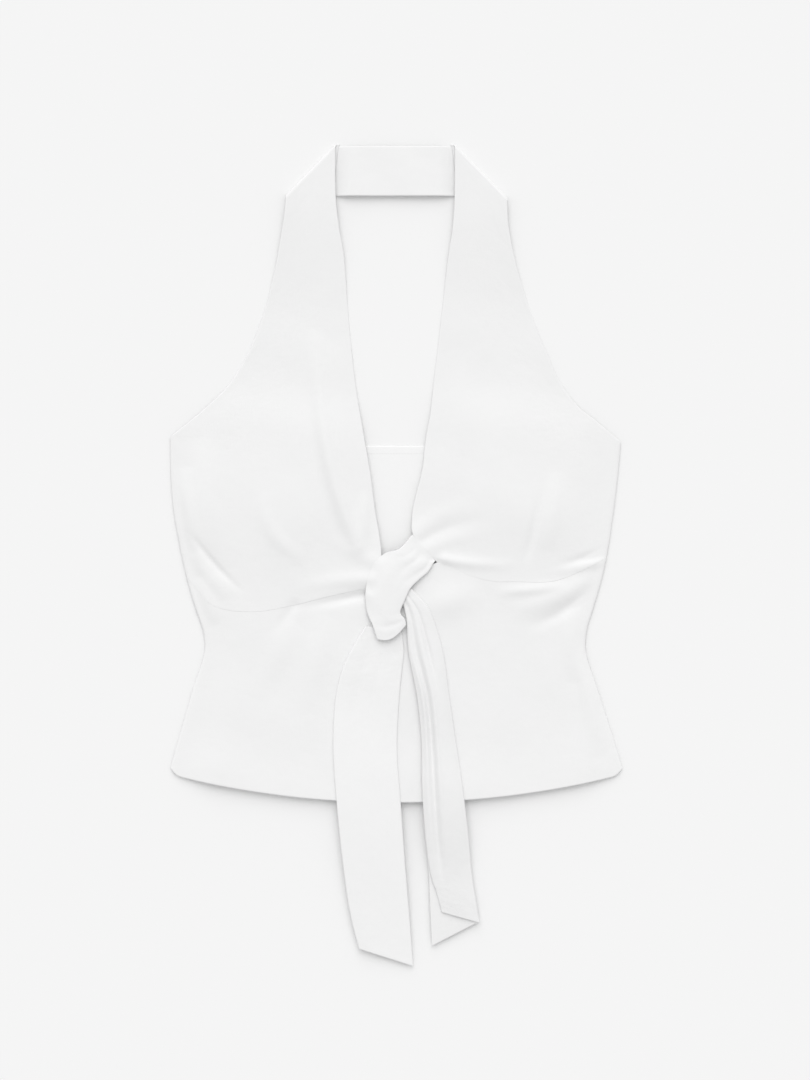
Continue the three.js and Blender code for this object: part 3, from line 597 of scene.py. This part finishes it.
def make_neck_band(name, columns, rows):
    """A lift that eases in from each strap, full at the lower edge and six tenths at the upper one."""
    across = shares(BAND_SIZE[0], columns, 1.0)
    up = shares(BAND_SIZE[1], rows, EDGE_ROUND)[:, None]
    left_x = blend(*LEFT_CUP["band_seam"], up) + BAND_SEAM
    right_x = blend(*RIGHT_CUP["band_seam"], up) - BAND_SEAM
    x = blend(left_x, right_x, across)
    y = blend(NECK_BAND["low_y"], NECK_BAND["high_y"], up) + 0 * across
    from_strap = (right_x - left_x) * np.minimum(across, 1 - across)
    lift = NECK_BAND["lift"] * soft_step(from_strap, 0, NECK_BAND["ease_in"])
    wave = BAND_WAVE["height"] * np.sin(x / BAND_WAVE["x"] + y / BAND_WAVE["y"])
    lift = lift * blend(1, NECK_BAND["lift_at_top"], up) + wave * np.sin(across * np.pi)
    middle, up_way = upright(x, y, lift + CLOTH / 2)
    free = np.minimum(y - y[0], y[-1] - y)
    half = CLOTH / 2 * turned_edge(free, EDGE_ROUND)
    return cloth_wall(name, middle, up_way, half, np.stack([y, x], -1))


neck_band = make_neck_band("neck_band_cloth", 70, 26)

# %% [markdown]
# ## The tails of the tie
# Each tail is the strip folded lengthwise: a layer underneath, a turn of small radius at the fold,
# and a layer on top that stands fuller. The tails lie on the lower front, and past the hem they
# slope down to the surface. Long soft pleats run down them from the knot, where the strip was
# squeezed.

# %% Build a tail
TAIL_POINTS = {"under": 14, "turn": 11, "over": 40}


def tail_seat(x, y, drop):
    """Top of the lower front and a little air; past the hem, an ease down to the surface."""
    over_front = front_height(x, np.maximum(y, hem_y(x)), GATHER["lower_share"]) + CLOTH + TIE_AIR
    past_hem = np.maximum(hem_y(x) - y, 0)
    return blend(over_front, TAIL_END_LIFT, soft_step(past_hem, 1, drop))


def make_tail(name, sections, pleats, drop, rows):
    """Across: under layer, half circle at the fold, over layer with its pleats. Along: the sections."""
    width, length = TAIL_SIZE
    share = shares(length, rows, EDGE_ROUND)[:, None]
    s = section_at(sections, share)
    fold, free_under, free_over = (
        np.stack([s[edge + "_x"], s[edge + "_y"]], -1) for edge in ("fold", "low", "top"))
    inward = (free_over - fold) / np.linalg.norm(free_over - fold, axis=-1, keepdims=True)
    bend = s["bend"]
    centre = fold + inward * bend[..., None]
    near = EDGE_ROUND * EDGE_STEPS / width
    under = np.concatenate([near, np.linspace(near[-1], 1, TAIL_POINTS["under"] + 2)[1:-1]])
    angle = np.linspace(-np.pi / 2, np.pi / 2, TAIL_POINTS["turn"])
    even = np.linspace(0, 1 - near[-1], TAIL_POINTS["over"] + 2)[1:-1]
    over = np.concatenate([even, 1 - near[::-1]])
    plan_under = blend(free_under, centre, under[None, :, None])
    plan_turn = centre - inward * (bend * np.cos(angle))[..., None]
    plan_over = blend(centre, free_over, over[None, :, None])
    plan = np.concatenate([plan_under, plan_turn, plan_over], 1)
    x, y = plan[..., 0], plan[..., 1]
    lift = np.concatenate([np.full(len(under), -1.0), np.sin(angle), np.full(len(over), 1.0)])
    crease = sum(depth * np.exp(-((over[None, :] - s["pleat"] - aside) / wide) ** 2)
                 * soft_step(-share, -end, -begin) for aside, wide, depth, begin, end in pleats)
    fullness = s["puff"] * np.sin(over * np.pi)[None, :] ** 0.8 * (1 - crease)
    over_width = np.linalg.norm(free_over - fold, axis=-1)
    under_width = np.linalg.norm(free_under - fold, axis=-1)
    wider = soft_step(over_width - under_width, TAIL_STEP["none"], TAIL_STEP["full"])
    past_under = over[None, :] * over_width - under_width
    reached = soft_step(past_under, -TAIL_STEP["before"], TAIL_STEP["past"])
    come_down = 2 * bend * wider * reached
    below = np.zeros((len(share), len(under) + len(angle)))
    full = np.concatenate([below, fullness - come_down], 1)
    z = tail_seat(x, y, drop) + TIE_CLOTH / 2 + bend * (1 + lift)[None, :] + full
    middle = np.stack([x, y, z], -1)
    crossing = np.zeros_like(middle)
    ways = np.concatenate([np.zeros(len(under)), np.cos(angle), np.zeros(len(over))])
    crossing[..., :2] = -inward * ways[None, :, None]
    crossing[..., 2] = lift[None, :]
    from_free = width * np.concatenate([under, np.ones(len(angle)), 1 - over])
    from_ends = length * np.minimum(share, 1 - share)
    half = TIE_CLOTH / 2 * turned_edge(np.minimum(from_free[None, :], from_ends), EDGE_ROUND)
    steps = np.linalg.norm(np.diff(middle, axis=1), axis=-1)
    width_along = np.concatenate([np.zeros((len(share), 1)), np.cumsum(steps, 1)], 1)
    uv = np.stack([width_along, -share * length + 0 * width_along], -1)
    return cloth_wall(name, middle, crossing, half, uv)


# Pleats: how far beside the longest one, how wide, how deep, and between which shares it fades out.
LEFT_PLEATS = [(0, 0.12, 0.35, 0.3, 0.8), (-0.24, 0.07, 0.3, 0.1, 0.45), (0.3, 0.06, 0.25, 0.15, 0.6)]
RIGHT_PLEATS = [
    (0, 0.085, 1.0, 0.68, 0.86), (0.17, 0.06, -0.6, 0.5, 0.7), (-0.18, 0.07, -0.25, 0.5, 0.8),
    (-0.38, 0.07, 0.85, 0.2, 0.34),
]
left_tail = make_tail("left_tail_cloth", LEFT_TAIL, LEFT_PLEATS, TAIL_DROP["left"], 110)
right_tail = make_tail("right_tail_cloth", RIGHT_TAIL, RIGHT_PLEATS, TAIL_DROP["right"], 110)

# %% [markdown]
# ## The knot
# The loop is the right front's end, drawn over the knot to the left and down. It arches between its
# two edges and is gathered into lengthwise pleats, deep at the sides where it turns under. Beneath
# it an inner wrap of the same cloth fills the hollow, so the knot is solid from every side.

# %% Build the loop and the inner wrap
LOOP_PLEATS = [(0.28, 0.07, 0.5, 0.34), (0.56, 0.08, 0.9, 0.55), (0.82, 0.07, 0.7, 0.65)]
LOOP_SIZE = (38.0, 110.0)
LOOP_START = 0.16
LIP = {"along": 0.86, "width": 0.035, "depth": 0.7}
TUCK = {"along": 0.03, "x": 0.9, "y": 0.75}   # shifts the loop's first edge under the cup's
SETTLE = {    # on its upper left the loop thins out and settles on the left cup
    "from": (0.12, 0.3), "to": (0.52, 0.62), "inward": 0.42, "edge": 0.2, "thinner": 0.85, "gap": 0.1,
}
WRAP = {
    "along": (0.33, 0.72), "centre": 0.57, "reach": 0.21, "above": 0.5, "under": 2.4,
    "fold": 0.5, "folds": 60, "cloth": (30, 90),
}


def loop_point(across, along):
    """Edges blended across, an arch of sin^0.75, less bell-shaped pleats, from the cup's height up."""
    s = section_at(LOOP, along)
    bow = np.sin(np.clip(across, 0, 1) * np.pi)
    x = blend(s["left_x"], s["right_x"], across)
    y = blend(s["left_y"], s["right_y"], across) - s["sag"] * bow
    pleat = 0
    for where, width, depth, gone in LOOP_PLEATS:
        aside = across - where - 0.05 * np.sin(along * 5 + 9 * where)
        pleat = pleat + depth * np.exp(-(aside / width) ** 2) * (1 - soft_step(along, 0, gone))
    lip = LIP["depth"] * bow * np.exp(-((along - LIP["along"]) / LIP["width"]) ** 2)
    z = blend(s["left_z"], s["right_z"], across) + bow ** 0.75 * s["crown"] - pleat - lip
    as_cup = front_height(x, y, 1.0) + CLOTH - TIE_CLOTH - 0.05
    return x, y, blend(as_cup, z, soft_step(along, 0, LOOP_START * (1.05 - across ** 3)))


def make_loop(name, columns, rows):
    """The loop's wall: long edges and lower end turned, the upper left settled on the cup."""
    width, length = LOOP_SIZE
    across = shares(width, columns, EDGE_ROUND)
    along = shares(length, rows, EDGE_ROUND)[:, None]
    x, y, z = loop_point(across * np.ones_like(along), along * np.ones_like(across))
    tucked = 1 - soft_step(along, 0, TUCK["along"])
    middle, up_way = upright(x + TUCK["x"] * tucked, y + TUCK["y"] * tucked, z + TIE_CLOTH / 2)
    free = np.minimum(width * np.minimum(across, 1 - across), length * (1 - along) + 0.5)
    half = TIE_CLOTH / 2 * turned_edge(free, EDGE_ROUND)
    settled = soft_step(along, *SETTLE["from"]) * (1 - soft_step(along, *SETTLE["to"]))
    settled = settled * (1 - soft_step(across, 0, SETTLE["inward"]))
    half = half * (1 - SETTLE["thinner"] * settled * (1 - soft_step(across, 0, SETTLE["edge"])))
    on_cup = front_height(x, y, 1.0) + CLOTH + SETTLE["gap"] + half
    middle[..., 2] -= 0.8 * (TIE_CLOTH / 2 - half) * (1 - settled)
    middle[..., 2] = middle[..., 2] * (1 - settled) + on_cup * settled
    uv = np.stack([width * across + 0 * along, length * along + 0 * across], -1)
    return cloth_wall(name, middle, up_way, half, uv)


def make_inner_wrap(name, columns, rows):
    """A half tube under the loop: across it follows a cosine, its height a sine to the power 0.55."""
    turn = np.linspace(0, np.pi, columns)
    along = np.linspace(*WRAP["along"], rows)[:, None]
    across = WRAP["centre"] - WRAP["reach"] * np.cos(turn)
    x, y, top = loop_point(across * np.ones_like(along), along * np.ones_like(across))
    base = front_height(x, y, GATHER["lower_share"]) + CLOTH + WRAP["above"]
    height = np.sin(turn) ** 0.55
    folds = WRAP["fold"] * np.cos(along * WRAP["folds"]) * height
    z = blend(base, top - WRAP["under"], height) + folds
    middle, up_way = upright(x, y, z)
    middle = middle + up_way * (TIE_CLOTH / 2)
    uv = np.stack([WRAP["cloth"][0] * turn + 0 * along, WRAP["cloth"][1] * along + 0 * turn], -1)
    return cloth_wall(name, middle, up_way, np.full_like(z, TIE_CLOTH / 2), uv)


loop = make_loop("knot_loop_cloth", 60, 90)
inner_wrap = make_inner_wrap("knot_inner_wrap", 40, 40)

# %% [markdown]
# ## Stitches
# The back's top edge is turned once and topstitched. It is the only sewing that shows. Each stitch
# is a short bead of thread, round across and tapered to its ends, and all of them are one mesh made
# from arrays.

# %% Topstitching on the back
STITCH = {
    "y": 97.4, "from_x": -206.0, "to_x": 205.0, "pitch": 2.7, "length": 2.1, "radius": 0.24,
    "above": 0.04, "flatter": 0.8, "tip": 0.02,
}
RINGS, SIDES_ROUND = 7, 8


def make_stitches(name):
    """Rings of eight points, radius * sin(pi t)^0.5 at places t along a stitch, at every pitch."""
    starts = np.arange(STITCH["from_x"], STITCH["to_x"], STITCH["pitch"])
    t = np.linspace(STITCH["tip"], 1 - STITCH["tip"], RINGS)
    around = np.arange(SIDES_ROUND)
    turn = around * 2 * np.pi / SIDES_ROUND
    ring = STITCH["radius"] * np.sqrt(np.sin(np.pi * t))
    x = starts[:, None, None] + t[None, :, None] * STITCH["length"] + 0 * turn
    y = STITCH["y"] + ring[None, :, None] * np.cos(turn) + 0 * x
    z = CLOTH + STITCH["above"] + ring[None, :, None] * np.sin(turn) * STITCH["flatter"] + 0 * x
    points = np.stack([x, y, z], -1).reshape(-1, 3) * MM
    ring_start = np.arange(RINGS - 1)[:, None] * SIDES_ROUND
    a = ring_start + around
    b = ring_start + (around + 1) % SIDES_ROUND
    one = np.stack([a, a + SIDES_ROUND, b + SIDES_ROUND, b], -1).reshape(-1, 4)
    first = np.arange(len(starts)) * RINGS * SIDES_ROUND
    quads = (one[None] + first[:, None, None]).reshape(-1, 4)
    caps = [list(k + around) for k in first]
    caps += [list(k + (RINGS - 1) * SIDES_ROUND + around[::-1]) for k in first]
    mesh = bpy.data.meshes.new(name)
    mesh.from_pydata(points, [], quads.tolist() + caps)
    mesh.polygons.foreach_set("use_smooth", np.ones(len(mesh.polygons), bool))
    mesh.update()
    print(f"{name}: {len(starts)} stitches")
    return placed(name, mesh)


stitches = make_stitches("back_topstitching")

# %% [markdown]
# ## Node groups for cloth
# Cotton has two things that every piece shares: the weave, and the faint unevenness that handling
# leaves. Each is a node group with named sockets, built once. The weave multiplies a wave along the
# warp by one along the weft, and its threads vary a little in thickness. Both read the cloth's own
# UV map, so they follow the straps and tie.

# %% Weave and handling groups
def new_group(name, inputs, outputs):
    """An empty shader group with its sockets; returns the group and its two end nodes."""
    group = bpy.data.node_groups.new(name, "ShaderNodeTree")
    for socket, kind, value in inputs:
        made = group.interface.new_socket(socket, in_out="INPUT", socket_type=kind)
        if value is not None:
            made.default_value = value
    for socket, kind in outputs:
        group.interface.new_socket(socket, in_out="OUTPUT", socket_type=kind)
    return group, group.nodes.new("NodeGroupInput"), group.nodes.new("NodeGroupOutput")


def math_node(tree, operation, a, b=None, clamp=False):
    """One Math node; a and b are sockets or numbers."""
    node = tree.nodes.new("ShaderNodeMath")
    node.operation, node.use_clamp = operation, clamp
    for k, value in enumerate((a, b)):
        if isinstance(value, (int, float)):
            node.inputs[k].default_value = value
        elif value is not None:
            tree.links.new(value, node.inputs[k])
    return node.outputs[0]


def noise_node(tree, vector, scale, detail, stretch=(1, 1, 1)):
    """Noise, its space stretched by a Mapping node."""
    mapping = tree.nodes.new("ShaderNodeMapping")
    mapping.inputs["Scale"].default_value = stretch
    tree.links.new(vector, mapping.inputs["Vector"])
    noise = tree.nodes.new("ShaderNodeTexNoise")
    noise.inputs["Scale"].default_value = scale
    noise.inputs["Detail"].default_value = detail
    tree.links.new(mapping.outputs[0], noise.inputs["Vector"])
    return noise.outputs["Fac"]


def bump_node(tree, height, distance, strength=1.0, normal=None):
    """The outcome of one Bump node, over an earlier normal where there is one; distance in metres."""
    bump = tree.nodes.new("ShaderNodeBump")
    bump.inputs["Strength"].default_value = strength
    bump.inputs["Distance"].default_value = distance
    tree.links.new(height, bump.inputs["Height"])
    if normal is not None:
        tree.links.new(normal, bump.inputs["Normal"])
    return bump.outputs[0]


def new_material(name, inputs):
    """A material with these inputs of its Principled shader; returns it, its tree and the shader."""
    material = bpy.data.materials.new(name)
    material.use_nodes = True
    shader = material.node_tree.nodes["Principled BSDF"]
    for socket, value in inputs.items():
        shader.inputs[socket].default_value = value
    return material, material.node_tree, shader


THREADS = 2200.0          # to the metre, along and across
weave, start, end = new_group(
    "plain_weave",
    [("Cloth", "NodeSocketVector", None), ("Threads per metre", "NodeSocketFloat", THREADS),
     ("Slub", "NodeSocketFloat", 0.35)],
    [("Height", "NodeSocketFloat"), ("Tone", "NodeSocketFloat")])
split = weave.nodes.new("ShaderNodeSeparateXYZ")
weave.links.new(start.outputs["Cloth"], split.inputs[0])
turns = math_node(weave, "MULTIPLY", start.outputs["Threads per metre"], float(np.pi))
warp = math_node(weave, "SINE", math_node(weave, "MULTIPLY", split.outputs["X"], turns))
weft = math_node(weave, "SINE", math_node(weave, "MULTIPLY", split.outputs["Y"], turns))
crossing = math_node(weave, "MULTIPLY", warp, weft)
thick_warp = noise_node(weave, start.outputs["Cloth"], 1.0, 2.0, (900, 45, 1))
thick_weft = noise_node(weave, start.outputs["Cloth"], 1.0, 2.0, (45, 900, 1))
slub = math_node(weave, "SUBTRACT", math_node(weave, "ADD", thick_warp, thick_weft), 1.0)
slub = math_node(weave, "MULTIPLY", slub, start.outputs["Slub"])
height = math_node(weave, "ADD", math_node(weave, "MULTIPLY", crossing, 0.5), slub)
weave.links.new(height, end.inputs["Height"])
tone = math_node(weave, "ADD", math_node(weave, "MULTIPLY", slub, 0.12), 0.985, clamp=True)
weave.links.new(tone, end.inputs["Tone"])

handling, start, end = new_group(
    "handled_cloth",
    [("Cloth", "NodeSocketVector", None), ("Crumple", "NodeSocketFloat", 1.0)],
    [("Height", "NodeSocketFloat")])
broad = noise_node(handling, start.outputs["Cloth"], 26.0, 2.0, (1.0, 0.55, 1.0))
fine = noise_node(handling, start.outputs["Cloth"], 120.0, 3.0)
both = math_node(handling, "ADD", broad, math_node(handling, "MULTIPLY", fine, 0.18))
height = math_node(handling, "MULTIPLY", both, start.outputs["Crumple"])
handling.links.new(height, end.inputs["Height"])

# %% [markdown]
# ## White cotton, and thread
# White cloth is never pure white: it returns about seven eighths of the light. It is matt, with a
# faint sheen from the fibre ends. The tie is handled more than the panels, so it is more crumpled,
# and the back, which lies flat, is the smoothest. The left tail's white is raised as painted light,
# and the right tail's is lowered as painted shade. The thread is a shade darker than the cloth.

# %% Materials
THIN_PLACE = 0.94         # how much of its white a thin place in the weave keeps
HANDLED_DEPTH, WEAVE_DEPTH, TWIST_DEPTH = 0.0012, 0.00012, 0.0001


def cotton(name, white, slub, crumple, roughness):
    """Tone from the weave, and two Bump nodes in a row: the handling first, then the weave."""
    material, tree, shader = new_material(name, {
        "Roughness": roughness, "Specular IOR Level": 0.25,
        "Sheen Weight": 0.06, "Sheen Roughness": 0.5,
    })
    uv = tree.nodes.new("ShaderNodeUVMap")
    uv.uv_map = "cloth_uv"
    cloth = tree.nodes.new("ShaderNodeGroup")
    cloth.node_tree = weave
    cloth.inputs["Threads per metre"].default_value = THREADS
    cloth.inputs["Slub"].default_value = slub
    handled = tree.nodes.new("ShaderNodeGroup")
    handled.node_tree = handling
    handled.inputs["Crumple"].default_value = crumple
    tree.links.new(uv.outputs[0], cloth.inputs["Cloth"])
    tree.links.new(uv.outputs[0], handled.inputs["Cloth"])
    tint = tree.nodes.new("ShaderNodeMix")
    tint.data_type = "RGBA"
    tint.inputs["A"].default_value = (THIN_PLACE * white,) * 3 + (1,)
    tint.inputs["B"].default_value = (white,) * 3 + (1,)
    tree.links.new(cloth.outputs["Tone"], tint.inputs["Factor"])
    tree.links.new(tint.outputs["Result"], shader.inputs["Base Color"])
    soft = bump_node(tree, handled.outputs["Height"], HANDLED_DEPTH)
    woven = bump_node(tree, cloth.outputs["Height"], WEAVE_DEPTH, strength=0.5, normal=soft)
    tree.links.new(woven, shader.inputs["Normal"])
    return material


front_cotton = cotton("front_cotton", white=0.872, slub=0.35, crumple=1.0, roughness=0.85)
back_cotton = cotton("back_cotton", white=0.91, slub=0.3, crumple=0.5, roughness=0.85)
tie_cotton = cotton("tie_cotton", white=0.872, slub=0.4, crumple=1.4, roughness=0.82)
# Painted light: the left tail's white is raised to stand in for the light on it, and the right tail's
# is lowered as painted shade where it turns away from the light.
painted_light_tail_cotton = cotton("painted_light_tail_cotton", white=0.885, slub=0.4, crumple=1.2, roughness=0.82)
painted_shade_tail_cotton = cotton("painted_shade_tail_cotton", white=0.857, slub=0.4, crumple=1.5, roughness=0.84)

thread, thread_tree, thread_shader = new_material(
    "sewing_thread", {"Base Color": (0.86, 0.86, 0.855, 1), "Roughness": 0.6})
twist_place = thread_tree.nodes.new("ShaderNodeTexCoord")
twist = noise_node(thread_tree, twist_place.outputs["Object"], 1.0, 2.0, (2600, 900, 900))
thread_tree.links.new(bump_node(thread_tree, twist, TWIST_DEPTH), thread_shader.inputs["Normal"])

# %% [markdown]
# ## Each piece in its place
# Every cloth piece takes the place of one panel of the model, which it hides, rides with the root
# body, and takes one of the cottons above. Each is also listed with the size it was cut to, and the
# share of that cut which its cloth covers is printed.

CUTS = [
    # cloth and its area, node, material, width and length of the cut, what it lies on
    (back, "back_panel", back_cotton, (0.43, 0.345), []),
    (lower_front, "front_lower", front_cotton, (0.43, 0.24), ["back_cloth"]),
    (left_cup, "front_cup_left", front_cotton, (0.205, 0.52), ["back_cloth"]),
    (right_cup, "front_cup_right", front_cotton, (0.205, 0.49), ["back_cloth"]),
    (neck_band, "neck_band", front_cotton, (0.122, 0.048), []),
    (loop, "knot_loop", tie_cotton, (0.06, 0.13), ["knot_inner_wrap"]),
    (inner_wrap, "knot_core", tie_cotton, (0.045, 0.04), ["lower_front_cloth"]),
    (left_tail, "tie_tail_left", painted_light_tail_cotton, (0.085, 0.33), ["lower_front_cloth"]),
    (right_tail, "tie_tail_right", painted_shade_tail_cotton, (0.09, 0.34), ["lower_front_cloth"]),
]
for (piece, area), node, material, flat, below in CUTS:
    piece.data.materials.append(material)
    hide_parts(node)
    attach(piece, "root")
    share = area / (flat[0] * flat[1])
    print(f"{piece.name}: cut {flat[0]:.3f} x {flat[1]:.3f} m, share of it {share:.2f}")
stitches.data.materials.append(thread)
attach(stitches, "root")

# %% [markdown]
# ## Floor, light and camera
# The photograph looks straight down on a pale grey ground. The light is very soft and comes from
# the top of the picture, so edges that face away from the neck have the only shadows. A broad sun
# and a white surround give that: the sun's size sets how soft the shadows are, and the surround how
# pale. The camera is far enough to flatten the view, and square to the floor.

# %% Floor
FLOOR_REACH, FLOOR_TOP = 6.0, -0.0002
floor_mesh = bpy.data.meshes.new("floor")
signs = [(-1, -1), (1, -1), (1, 1), (-1, 1)]
corners = [(x * FLOOR_REACH, y * FLOOR_REACH, FLOOR_TOP) for x, y in signs]
floor_mesh.from_pydata(corners, [], [(0, 1, 2, 3)])
floor = placed("floor", floor_mesh)
ground = new_material(
    "pale_ground", {"Base Color": (0.9, 0.9, 0.9, 1), "Roughness": 0.95, "Specular IOR Level": 0.0})[0]
floor_mesh.materials.append(ground)

# %% Light
SUN = {"energy": 1.5, "size": 62, "tilt": -47, "turn": 3}    # size, tilt and turn in degrees
SURROUND = 0.69
scene = bpy.context.scene
scene.view_settings.view_transform = "Standard"
world = bpy.data.worlds.new("white_surround")
world.use_nodes = True
world.node_tree.nodes["Background"].inputs["Color"].default_value = (1, 1, 1, 1)
world.node_tree.nodes["Background"].inputs["Strength"].default_value = SURROUND
scene.world = world
sun_data = bpy.data.lights.new("soft_sun", "SUN")
sun_data.energy = SUN["energy"]
sun_data.angle = np.radians(SUN["size"])
sun = placed("soft_sun", sun_data)
sun.rotation_euler = (np.radians(SUN["tilt"]), 0, np.radians(SUN["turn"]))

# %% Camera
PIXEL_MM, PICTURE_HEIGHT = 0.95, 1080
CENTRE_MM = (8.1, 15.2)
CLOTH_LEVEL = 0.003       # metres; the scale holds at this height
camera_data = bpy.data.cameras.new("camera")
camera_data.lens = 85
camera_data.sensor_width = 36
camera = placed("camera", camera_data)
distance = PICTURE_HEIGHT * PIXEL_MM * MM * camera_data.lens / camera_data.sensor_width
camera.location = (CENTRE_MM[0] * MM, CENTRE_MM[1] * MM, distance + CLOTH_LEVEL)
scene.camera = camera
print("camera height", round(distance, 3))
